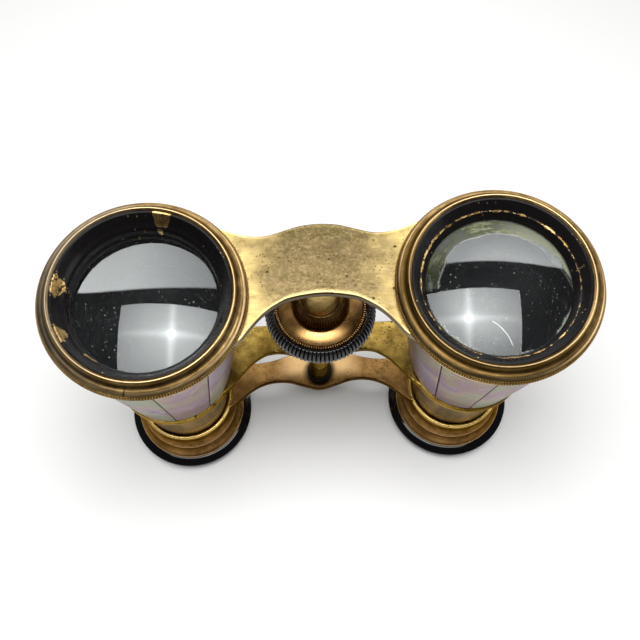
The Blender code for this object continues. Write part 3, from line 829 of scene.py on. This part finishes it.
def make_barrel(side):
    """The blackened cone under the pearl, the guide tube in its lower half, and the bead round its neck."""
    cone = [
        (15.95, 73.4, 0.1), (10.95, 38.3, 0.3), (10.95, 34.6, 0.2), (10.5, 34.6, 0.1),
        (10.5, 38.3, 0.3), (15.2, 73.4, 0.1),
    ]
    piece = turned(f"{side}_barrel_cone", rounded(cone), BARREL_AXIS[side], SOOT, 128)
    settle(piece, "objective_frame", "dark_brass", f"{side}_barrel_tube")
    guide = [(10.15, 52.0), (10.15, 34.7), (9.72, 34.7), (9.72, 52.0)]
    piece = turned(f"{side}_guide_sleeve", rounded(guide), BARREL_AXIS[side], SOOT, 96)
    settle(piece, "objective_frame", "drawn_brass", f"{side}_guide_tube")
    lower = [
        (12.3, 36.05, 0.05, 0.3), (12.38, 35.5, 0.2, 0.8), (12.15, 34.95, 0.2, 0.9), (11.3, 34.8, 0.2, 0.5),
        (10.98, 34.85, 0.05, 0.0), (10.98, 36.05, 0.05, 0.0),
    ]
    piece = turned(f"{side}_lower_bead", rounded(lower), BARREL_AXIS[side], TURNED, 160)
    settle(piece, "objective_frame", "gilt_brass", f"{side}_lower_ring")


def make_pearl(side, index):
    """One slab of shell: softly crowned, its edges eased, thicker than the seam is wide."""
    pitch = TURN / PEARL_COUNT
    start = math.radians(PEARL_SEAM_DEG[side]) + index * pitch
    half_seam = 0.09
    thickness = 0.9
    width, height = 8.5, 33.0
    low, high = PEARL_Z
    rows, columns = 36, 14
    work = bmesh.new()
    wear = wear_and_shade_layer(work)
    grain = work.verts.layers.float.new("grain")
    shift = random.Random(f"{side}{index}").uniform(0.0, 10.0)

    def add(u, v, depth, edge):
        """A point at shares u across and v up the slab, at a depth under its crown."""
        radius = PEARL_R[0] + (PEARL_R[1] - PEARL_R[0]) * v
        margin = half_seam / radius
        angle = start + margin + (pitch - 2 * margin) * u
        r = radius - depth
        vert = work.verts.new((r * math.cos(angle), r * math.sin(angle), low + (high - low) * v))
        vert[wear] = edge
        vert[grain] = shift
        return vert

    def eased(u, v):
        """A point of the crown, which falls away near the slab's edges."""
        near = min(u * width, (1 - u) * width, v * height, (1 - v) * height)
        return add(u, v, 0.12 * max(0.0, 1 - near / 0.22) ** 2, min(1.0, near / 0.3))

    us = [0.0, 0.008, 0.02, *np.linspace(0.05, 0.95, columns), 0.98, 0.992, 1.0]
    vs = [0.0, 0.002, 0.006, *np.linspace(0.015, 0.985, rows), 0.994, 0.998, 1.0]
    top = [[eased(u, v) for u in us] for v in vs]
    base = [[add(u, v, thickness, 0.0) for u in us] for v in vs]
    for i in range(len(vs) - 1):
        for j in range(len(us) - 1):
            work.faces.new((top[i][j], top[i][j + 1], top[i + 1][j + 1], top[i + 1][j]))
            work.faces.new((base[i][j], base[i + 1][j], base[i + 1][j + 1], base[i][j + 1]))
    for j in range(len(us) - 1):
        work.faces.new((top[0][j], base[0][j], base[0][j + 1], top[0][j + 1]))
        work.faces.new((top[-1][j], top[-1][j + 1], base[-1][j + 1], base[-1][j]))
    for i in range(len(vs) - 1):
        work.faces.new((top[i][0], top[i + 1][0], base[i + 1][0], base[i][0]))
        work.faces.new((top[i][-1], base[i][-1], base[i + 1][-1], top[i + 1][-1]))
    piece = finish_mesh(f"{side}_shell_{index + 1}", work, PEARL)
    piece.location = (AXIS_X[side] * MM, 0.0, 0.0)
    settle(piece, "objective_frame", "mother_of_pearl", f"{side}_pearl_{index + 1}")


# ---------------------------------------------------------------- the eyepieces

def make_eyepiece(side):
    """Eyecup rim, stepped cell, sliding tube, and the eye lens with its ring."""
    cup = [
        (12.45, 5.1), (12.85, 5.0, 0.18), (13.4, 4.7, 0.4), (14.3, 4.15, 0.5), (CUP_R - 0.05, 3.6, 0.2),
        (CUP_R, 3.4), (CUP_R - 0.9, 0.9, 0.6), (13.2, 0.0, 0.5), (11.2, 0.0, 0.6), (9.6, 1.9, 1.5),
        (8.1, 3.8, 1.0), (7.4, 4.9, 0.2), (8.4, 5.1),
    ]
    piece = turned(f"{side}_eyecup_rim", rounded(cup, steps=6), BARREL_AXIS[side], EBONITE)
    settle(piece, "eyepiece_carriage", "black_ebonite", f"{side}_eyecup_ring")
    cell = [
        (10.12, 13.65, 0.1, 0.4), (10.25, 13.2, 0.15, 0.9), (10.2, 12.4, 0.6, 0.2), (10.35, 10.9, 1.2, 0.3),
        (10.95, 9.75, 0.25, 0.7), (11.12, 9.5, 0.12, 1.0), (11.1, 9.15, 0.1, 0.6), (10.98, 9.0, 0.06, 0.0),
        (11.2, 7.8, 1.2, 0.3), (12.0, 6.3, 0.7, 0.6), (12.5, 5.75, 0.2, 1.0), (12.52, 5.25, 0.1, 0.2),
        (8.6, 5.2, 0.1, 0.0), (8.6, 9.0, 0.1, 0.0), (7.8, 9.0, 0.1, 0.0), (7.8, 9.6, 0.1, 0.0),
        (9.72, 9.6, 0.1, 0.0), (9.72, 13.65, 0.1, 0.0),
    ]
    piece = turned(f"{side}_eyepiece_cell", rounded(cell, steps=5), BARREL_AXIS[side], BRONZE_TURNED)
    settle(piece, "eyepiece_carriage", "dark_brass", f"{side}_ocular_cell")
    tube = [(TUBE_R, 50.0, 0.2), (TUBE_R, 9.8), (8.9, 9.8), (8.9, 50.0, 0.2)]
    piece = turned(f"{side}_sliding_tube", rounded(tube, 0.05), BARREL_AXIS[side], DRAWN, 160)
    second_material(piece, SOOT, lambda face: from_axis(face) < 9.2 or face.center.z > 49.0 * MM)
    settle(piece, "eyepiece_carriage", "drawn_brass", f"{side}_draw_tube")
    retainer = [(8.3, 6.3), (8.3, 5.4), (7.3, 5.4, 0.2), (7.1, 6.3, 0.1)]
    piece = turned(f"{side}_eye_lens_ring", rounded(retainer, 0.08), BARREL_AXIS[side], JAPAN["right"], 96)
    settle(piece, "eyepiece_carriage", "black_japan", f"{side}_ocular_retainer")
    front = dome(8.3, -0.75, 8.7)
    back = dome(8.3, 0.75, 6.6)[::-1]
    piece = turned(f"{side}_eye_lens", front + back, BARREL_AXIS[side], GLASS, 96, closed=False)
    settle(piece, "eyepiece_carriage", "lens_glass", f"{side}_ocular_lens")


# ---------------------------------------------------------------- the bridges

def bridge_half(near, far, ring_r):
    """Near edge, far edge and the ring's arc between their ends, for the right half."""
    centre_x = AXIS_X["right"]

    def on_ring(angle):
        return centre_x + ring_r * math.cos(angle), ring_r * math.sin(angle)

    runs = []
    turns = []
    for points in (near, far):
        run = curve_run([(-points[1][0], points[1][1]), *points])[CURVE_STEPS:]
        angle = math.atan2(run[-1][1], run[-1][0] - centre_x)
        turns.append(angle - TURN if angle > 0 else angle)
        run[-1] = on_ring(turns[-1])
        runs.append(run)
    start, end = turns

    def arc(v):
        return np.array(on_ring(start + (end - start) * v))

    return *runs, arc


def along(run, t):
    """A point at share t of a run's length."""
    points = np.array(run)
    steps = np.hypot(*np.diff(points, axis=0).T)
    distance = np.concatenate([[0.0], np.cumsum(steps)])
    want = t * distance[-1]
    return np.array([np.interp(want, distance, points[:, k]) for k in (0, 1)])


def bridge_plate(work, near, far, ring_r, heights, edge_r, rubbed):
    """A flat bridge between its two rings, with rounded long edges.

    rubbed gives the values at five steps up each rounded edge, from its wall to its flat top. The low values
    paint the walls dark, as painted shade; the high ones paint the top of the edge bright, partly as rubbing
    and partly as painted highlight.
    """
    bottom, top = heights
    layer = wear_and_shade_layer(work)
    near_run, far_run, arc = bridge_half(near, far, ring_r)

    def ruled(u, v):
        return along(near_run, u) * (1 - v) + along(far_run, u) * v

    def patch(u, v):
        """A point at shares u out to the ring and v across, bent to end on the ring's arc."""
        return ruled(u, v) + (arc(v) - ruled(1.0, v)) * u

    columns = 56
    rows = 20
    rim = [(edge_r * (1 - math.cos(a)), edge_r * (1 - math.sin(a)))
           for a in np.linspace(0.0, math.pi / 2, 5)]
    grid = []
    for i in range(-columns, columns + 1):
        u = abs(i) / columns
        side = 1.0 if i >= 0 else -1.0
        low, high = patch(u, 0.0), patch(u, 1.0)
        across = np.linalg.norm(high - low)
        shares = [(d / across, fall, rubbed[k]) for k, (d, fall) in enumerate(rim)]
        spread = np.linspace(edge_r / across, 1 - edge_r / across, rows)[1:-1]
        shares += [(v, 0.0, 0.5) for v in spread]
        # The far edge gets less of the painted highlight than the near one.
        shares += [
            (1 - d / across, fall, min(rubbed[k], 0.45)) for k, (d, fall) in reversed(list(enumerate(rim)))
        ]
        upper = []
        lower = []
        for v, fall, wear in shares:
            x, y = patch(u, v)
            x *= side
            vert = work.verts.new((x, y, top - fall))
            vert[layer] = wear
            upper.append(vert)
            under = work.verts.new((x, y, bottom + fall))
            # The underside is painted darker: painted shade.
            under[layer] = min(wear, 0.4)
            lower.append(under)
        grid.append((upper, lower))
    for (upper, lower), (next_upper, next_lower) in zip(grid, grid[1:]):
        for k in range(len(upper) - 1):
            work.faces.new((upper[k], next_upper[k], next_upper[k + 1], upper[k + 1]))
            work.faces.new((lower[k], lower[k + 1], next_lower[k + 1], next_lower[k]))
        work.faces.new((upper[0], lower[0], next_lower[0], next_upper[0]))
        work.faces.new((upper[-1], next_upper[-1], next_lower[-1], lower[-1]))
    for upper, lower in (grid[0], grid[-1]):
        for k in range(len(upper) - 1):
            work.faces.new((upper[k], upper[k + 1], lower[k + 1], lower[k]))


def add_rings(work, profile):
    """The ring at each end of a bridge."""
    for side in SIDES:
        before = set(work.verts)
        lathe(work, profile)
        for vert in work.verts:
            if vert not in before:
                vert.co.x += AXIS_X[side]


TOP_NEAR = [(0.0, -0.1), (5.3, -0.75), (8.0, -1.9), (10.6, -3.7), (13.0, -6.3), (14.5, -8.2), (15.9, -9.1)]
TOP_FAR = [
    (0.0, 13.65), (3.0, 13.4), (5.0, 12.9), (9.0, 11.7), (11.5, 11.5), (14.4, 12.0), (17.8, 13.3),
    (21.0, 14.6),
]
MID_NEAR = [
    (0.0, -0.2), (3.0, 0.3), (6.0, 1.3), (8.7, 1.8), (11.4, 1.5), (13.6, 0.3), (15.2, -1.0), (17.8, -4.0),
    (19.0, -5.5), (20.8, -7.0),
]
MID_FAR = [(0.0, 9.3), (4.0, 9.0), (8.0, 8.2), (11.0, 8.0), (15.0, 8.0), (21.6, 8.1)]
EYE_NEAR = [
    (0.0, 0.1), (1.4, 0.3), (4.3, 1.15), (7.0, 2.0), (10.0, 2.2), (12.8, 1.7), (15.6, 0.4), (17.9, -1.4),
    (21.2, -4.1),
]
EYE_FAR = [(0.0, 9.1), (3.5, 9.0), (7.0, 8.5), (10.0, 7.6), (12.9, 7.0), (15.7, 6.9), (23.2, 7.2)]


def make_bridge(name, material, runs, ring_r, heights, edge_r, rubbed, ring):
    """A bridge and its two rings.

    ring: (r, 1 at the top or 0 at the bottom, corner radius, wear) of each corner of the rings' profile.
    """
    work = bmesh.new()
    bridge_plate(work, *runs, ring_r, heights, edge_r, rubbed)
    add_rings(work, rounded([(r, heights[at_top], corner, wear) for r, at_top, corner, wear in ring]))
    return finish_mesh(name, work, material)


def make_bridges():
    """The top and middle bridges, which slide with the barrels, and the eyepiece bridge."""
    piece = make_bridge(
        "top_bridge_plate", PLATE, (TOP_NEAR, TOP_FAR), 17.5, TOP_BRIDGE_Z, 0.45, (0.0, 0.05, 0.5, 1.0, 0.8),
        [(17.68, 1, 0.2, 0.4), (17.68, 0, 0.3, 0.8), (16.4, 0, 0.1, 0.0), (16.4, 1, 0.1, 0.0)],
    )
    settle(piece, "objective_frame", "gilt_brass", "top_bridge")
    piece = make_bridge(
        "middle_bridge_plate", OLIVE, (MID_NEAR, MID_FAR), 12.1, MID_BRIDGE_Z, 0.4,
        (0.0, 0.0, 0.05, 0.25, 0.5),
        [(12.36, 1, 0.15, 0.4), (12.36, 0, 0.1, 0.2), (11.0, 0, 0.1, 0.0), (11.0, 1, 0.1, 0.0)],
    )
    settle(piece, "objective_frame", "gilt_brass", "mid_bridge")
    piece = make_bridge(
        "eyepiece_bridge_plate", BRONZE, (EYE_NEAR, EYE_FAR), 10.3, EYE_BRIDGE_Z, 0.5,
        (0.0, 0.0, 0.05, 0.25, 0.5),
        [(10.55, 1, 0.35, 1.0), (10.55, 0, 0.3, 0.2), (9.75, 0, 0.1, 0.0), (9.75, 1, 0.15, 0.6)],
    )
    second_material(piece, RING_GILT, lambda face: from_axis(face, AXIS_X["right"]) < 10.6)
    settle(piece, "eyepiece_carriage", "dark_brass", "eyepiece_bridge")


# ---------------------------------------------------------------- the focus

def make_focus():
    """The fixed columns above and below the wheel, the wheel, and the screw through them."""
    upper = [
        (3.9, 71.7, 0.1, 0.6), (3.9, 61.8, 0.2, 0.6), (3.8, 61.25, 0.2, 0.1), (2.6, 61.1, 0.1, 0.0),
        (2.6, 71.7, 0.1, 0.0),
    ]
    piece = turned("column", rounded(upper, steps=4), FOCUS_AXIS, COLUMN_GILT, 128)
    settle(piece, "objective_frame", "gilt_brass", "upper_sleeve")
    lower = [
        (3.4, 50.6, 0.3, 0.7), (3.4, 39.2, 0.5, 0.5), (4.2, 37.9, 0.2, 0.4), (2.6, 37.9, 0.1, 0.0),
        (2.6, 50.6, 0.1, 0.0),
    ]
    piece = turned("lower_column", rounded(lower, steps=4), FOCUS_AXIS, OLIVE, 128)
    settle(piece, "objective_frame", "gilt_brass", "lower_sleeve")

    make_wheel()
    make_spindle()


def make_wheel():
    """A black rim with ribs over its shoulder, round a brass dish with a beaded edge and a fluted boss."""
    ribs = 80
    ribs_from_r, ribs_from_z, shoulder_z = 9.45, 53.9, 55.2

    def ribbed(angle, r, z):
        if r < ribs_from_r or z < ribs_from_z:
            return r, z
        valley = max(0.0, 1 - abs(math.cos(ribs * angle / 2)) ** 0.7 - 0.1)
        out = min(1.0, (r - ribs_from_r) / 0.6)
        return r - 0.48 * valley * out, z - (0.18 * valley * out if z > shoulder_z else 0.0)

    rim = [
        (8.98, 56.9, 0.1, 0.2), (9.2, 57.15, 0.1, 0.4), (9.75, 57.25, 0.25, 0.5), (10.3, 56.5, 0.7, 0.5),
        (WHEEL_R, 55.1, 0.5), (WHEEL_R, 54.2, 0.3), (10.3, 53.75, 0.2), (8.98, 53.75),
    ]
    piece = turned("wheel_grip", rounded(rim, steps=6), FOCUS_AXIS, EBONITE, ribs * 14, shape=ribbed,
                   sharp=60.0)
    settle(piece, "focus_wheel", "black_ebonite", "wheel_rim")

    beads = 120
    flutes = 54
    boss_r, shaded_wear = 4.0, 0.22

    def beaded(angle, r, z):
        if r > 8.35 and z > 56.8:
            dip = 0.5 + 0.5 * math.cos(beads * angle)
            return r - 0.06 * dip, z - 0.26 * dip, 1.0 - dip
        # The flutes, under the top bridge, get a low value: painted shade.
        if z > 57.4 and boss_r < r < 5.3:
            dip = (0.5 + 0.5 * math.cos(flutes * angle)) * min(1.0, (r - boss_r) / 0.4)
            return r - 0.12 * dip, z - 0.1 * dip, shaded_wear * (1.0 - dip)
        # Painted highlight on the near side of the dish, towards -y; elsewhere the dish keeps the low value,
        # painted darker as painted shade.
        if 5.5 < r < 8.2 and z > 56.0:
            return r, z, shaded_wear + 0.68 * max(0.0, -math.sin(angle)) ** 1.3
        return r, z

    hub = [
        (3.0, 60.9, 0.1, 0.2), (3.9, 60.9, 0.2, 0.2), (4.15, 60.75, 0.2, 0.1), (4.75, 59.9, 0.4, 0.1),
        (5.05, 58.6, 0.3, 0.1), (5.1, 57.9, 0.3, 0.0), (5.25, 57.35, 0.1, 0.0), (5.6, 57.66, 0.3, 0.5),
        (6.4, 57.52, 0.6, 0.85), (7.4, 57.2, 0.8, 0.9), (8.15, 56.82, 0.1, 0.7), (8.28, 56.62, 0.04, 0.0),
        (8.38, 57.1, 0.08, 1.0), (8.82, 57.12, 0.12, 1.0), (8.95, 56.8, 0.05, 0.0), (8.95, 53.8, 0.2, 0.3),
        (4.6, 53.1, 0.4, 0.3), (4.2, 51.0, 0.3, 0.8), (2.6, 51.0, 0.1, 0.0), (2.6, 60.9, 0.1, 0.0),
    ]
    piece = turned("wheel_dish", rounded(hub, steps=5), FOCUS_AXIS, WHEEL_GILT, beads * 9, shape=beaded,
                   sharp=50.0)
    settle(piece, "focus_wheel", "gilt_brass", "wheel_hub")


def make_spindle():
    """A right-hand screw of six starts and a 12 mm lead, with a plain neck at the bottom."""
    starts = 6
    lead = 12.0
    radius = 2.2
    chamfer = 0.4
    plain_neck = 2.5
    dark_neck = 8.0
    low, high = node_mm("focus_spindle")
    shoulder = EYE_BRIDGE_Z[1] + 0.05

    def thread(angle, r, z):
        if r < radius - 0.05 or z < shoulder + plain_neck or z > high.z - 0.6:
            return r, z
        wave = 0.5 + 0.5 * math.cos(starts * (angle - TURN * z / lead))
        return r - 0.32 * wave ** 2, z

    rows = int((high.z - shoulder) / 0.25)
    profile = [(0.0, high.z, 0.5), (radius - chamfer, high.z, 0.6)]
    for k in range(rows + 1):
        height = high.z - chamfer - k * (high.z - chamfer - shoulder) / rows
        # The lowest part of the thread is painted dark.
        profile.append((radius, height, 0.6 if height > shoulder + dark_neck else 0.0))
    profile += [(1.5, shoulder, 0.1), (1.5, low.z, 0.4), (0.0, low.z, 0.4)]
    piece = turned("focus_screw", profile, FOCUS_AXIS, SCREW_GILT, 96, closed=False, shape=thread)
    settle(piece, "eyepiece_carriage", "gilt_brass", "focus_spindle")
    collar = [(2.35, 16.8, 0.05), (2.55, 16.5, 0.1), (2.75, 16.1, 0.05), (2.25, 16.05), (2.25, 16.8)]
    piece = turned("screw_collar", rounded(collar, 0.08), FOCUS_AXIS, SOOT, 96)
    settle(piece, "eyepiece_carriage", "screw_steel", "spindle_collar")
    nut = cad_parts["spindle_nut"]
    nut.data.materials.clear()
    nut.data.materials.append(STEEL)


# ---------------------------------------------------------------- the stage

CAMERA_AT = (-3.84, -62.1, 222.4)
CAMERA_DOWN, CAMERA_YAW, CAMERA_ROLL = (math.radians(a) for a in (68.98, 3.28, 0.78))
CAMERA_LENS = 52.1


def make_camera():
    """The photo's camera, as fitted to the rims of the bezels and the right eyecup."""
    forward = Vector((
        math.sin(CAMERA_YAW) * math.cos(CAMERA_DOWN), math.cos(CAMERA_YAW) * math.cos(CAMERA_DOWN),
        -math.sin(CAMERA_DOWN),
    ))
    level = Vector((math.cos(CAMERA_YAW), -math.sin(CAMERA_YAW), 0.0))
    upright = level.cross(forward)
    right = math.cos(CAMERA_ROLL) * level + math.sin(CAMERA_ROLL) * upright
    up = right.cross(forward)
    data = bpy.data.cameras.new("camera")
    data.lens = CAMERA_LENS
    data.sensor_width = 36.0
    data.clip_start = 0.005
    camera = new_object("camera", data)
    turn = Matrix((right, up, -forward)).transposed()
    camera.matrix_world = Matrix.Translation(Vector(CAMERA_AT) * MM) @ turn.to_4x4()
    bpy.context.scene.camera = camera


def area_light(name, place, size, radiance, turn_deg=0.0, aim=None):
    """A rectangular soft light. place and size are in millimetres; it faces down, or towards aim."""
    data = bpy.data.lights.new(name, "AREA")
    data.shape = "RECTANGLE"
    data.size = size[0] * MM
    data.size_y = size[1] * MM
    data.energy = radiance * math.pi * data.size * data.size_y
    light = new_object(name, data)
    light.location = Vector(place) * MM
    light.rotation_euler.z = math.radians(turn_deg)
    if aim is not None:
        light.rotation_euler = (Vector(aim) - Vector(place)).to_track_quat("-Z", "Y").to_euler()
    light.visible_camera = False
    return light


LAMP_AT = (0.507, 0.6)
LAMP_BELLS = [
    (0.024, 0.032, 3.0), (0.085, 0.11, 0.5), (0.42, 0.5, 0.72), (0.035, 0.8, 0.55), (0.40, 0.045, 0.50),
]


def lamp_glow(light):
    """The lamp behind the cloth: a hot spot with a soft cross of streaks through it.

    LAMP_AT is its place on the cloth, in shares of the cloth's sides. Each bell of light over it has a width
    along each side, and a height.
    """
    n = Nodes(light.data, ("NewGeometry", "Parametric"))
    sides = n.split()
    total = 0.50
    for *widths, height in LAMP_BELLS:
        u, v = (n.over(n.minus(*pair), width) for *pair, width in zip(sides, LAMP_AT, widths))
        squared = n.plus(n.times(u, u), n.times(v, v))
        total = n.plus(total, n.times(n.math("EXPONENT", n.times(squared, -1.0)), height))
    n.set("Strength", total)


def panel_edge(light, nearest, bow, tilt=0.0):
    """Bows a panel's near edge away from its nearest point, in world millimetres, and fades it with distance.

    tilt is how much darker it gets with each millimetre to the right.
    """
    n = Nodes(light.data, ("NewGeometry", "Position"))
    x, y, _ = n.split()
    across = n.minus(n.times(x, 1.0 / MM), nearest[0])
    beyond = n.minus(n.times(y, 1.0 / MM), nearest[1])
    beyond = n.minus(beyond, n.times(n.times(across, across), bow))
    edge = n.least(n.most(n.over(beyond, 9.0), 0.0), 1.0)
    fade = n.most(n.minus(1.15, n.over(beyond, 900.0)), 0.35)
    sideways = n.least(n.most(n.minus(1.0, n.times(across, tilt)), 0.4), 1.2)
    n.set("Strength", n.times(n.times(edge, fade), sideways))


def light_only(light, state, *names):
    """Makes a light fall only on the named pieces (INCLUDE), or on everything but them (EXCLUDE)."""
    group = bpy.data.collections.new(f"{light.name}_{state.lower()}")
    for name in names:
        group.objects.link(bpy.data.objects[name])
    light.light_linking.receiver_collection = group
    for link in group.collection_objects:
        link.light_linking.link_state = state


SOFT_BOX_AT = (-7.0, -9.0, 350.0)
SOFT_BOX_SIZE = (296.0, 222.0)
SOFT_BOX_TURN = -3.5


def make_lights():
    """A soft box overhead with a hot middle, a wide pale panel beyond it, and a weak panel at the right.

    The left front glass has its own copy of the wide panel, and the floor its own copy of the soft box.
    """
    lamp_glow(area_light("soft_box", SOFT_BOX_AT, SOFT_BOX_SIZE, 5.0, SOFT_BOX_TURN))
    panel = area_light("far_panel", (0.0, 600.0, 350.0), (1500.0, 820.0), 4.0)
    panel_edge(panel, (90.0, 198.0), 0.0005)
    panel_for_left = area_light("far_panel_for_left_glass", (0.0, 575.0, 350.0), (1500.0, 870.0), 4.0)
    panel_edge(panel_for_left, (-50.0, 157.0), 0.00078, 0.0024)
    table_box = area_light("soft_box_on_table", SOFT_BOX_AT, SOFT_BOX_SIZE, 5.3, SOFT_BOX_TURN)
    side_panel = area_light("side_panel", (620.0, -30.0, 230.0), (500.0, 300.0), 2.4, aim=(0.0, 0.0, 60.0))
    light_only(side_panel, "EXCLUDE", "floor", "left_eyecup_rim", "right_eyecup_rim")
    light_only(panel, "EXCLUDE", "left_front_glass", "floor")
    light_only(panel_for_left, "INCLUDE", "left_front_glass")
    light_only(table_box, "INCLUDE", "floor")


def make_world():
    """A faint bluish room light. The camera sees pale paper in its place."""
    world = bpy.data.worlds.new("room")
    bpy.context.scene.world = world
    n = Nodes(world, ("LightPath", "Is Camera Ray"))
    n.set("Color", (0.93, 0.93, 0.92))
    n.set("Strength", 1.0)
    room = n.add("Background", 0, {"Color": (0.95, 0.97, 1.0), "Strength": 0.06})
    both = n.add("MixShader", 0, {0: n.place, 1: room, 2: n.shader.outputs[0]})
    n.link(both, n.tree.nodes["World Output"].inputs["Surface"])


def make_floor():
    """A pale table under the eyecups."""
    work = bmesh.new()
    bmesh.ops.create_grid(work, x_segments=2, y_segments=2, size=3000.0)
    n = material_nodes("pale_table")
    grain = n.noise(14.0, 4.0)
    n.set("Base Color", n.mix(grain, (0.84, 0.84, 0.83), (0.88, 0.88, 0.87)))
    n.set("Roughness", 0.6)
    n.set("Specular IOR Level", 0.2)
    floor = finish_mesh("floor", work, n.owner, smooth=False)


make_camera()
make_floor()
for barrel in SIDES:
    make_bezel(barrel)
    make_lens_ring(barrel)
    make_objective(barrel)
    make_barrel(barrel)
    for slab in range(PEARL_COUNT):
        make_pearl(barrel, slab)
    make_eyepiece(barrel)
make_balsam()
make_bridges()
make_focus()
make_lights()
make_world()
bpy.context.scene.view_settings.view_transform = "Standard"
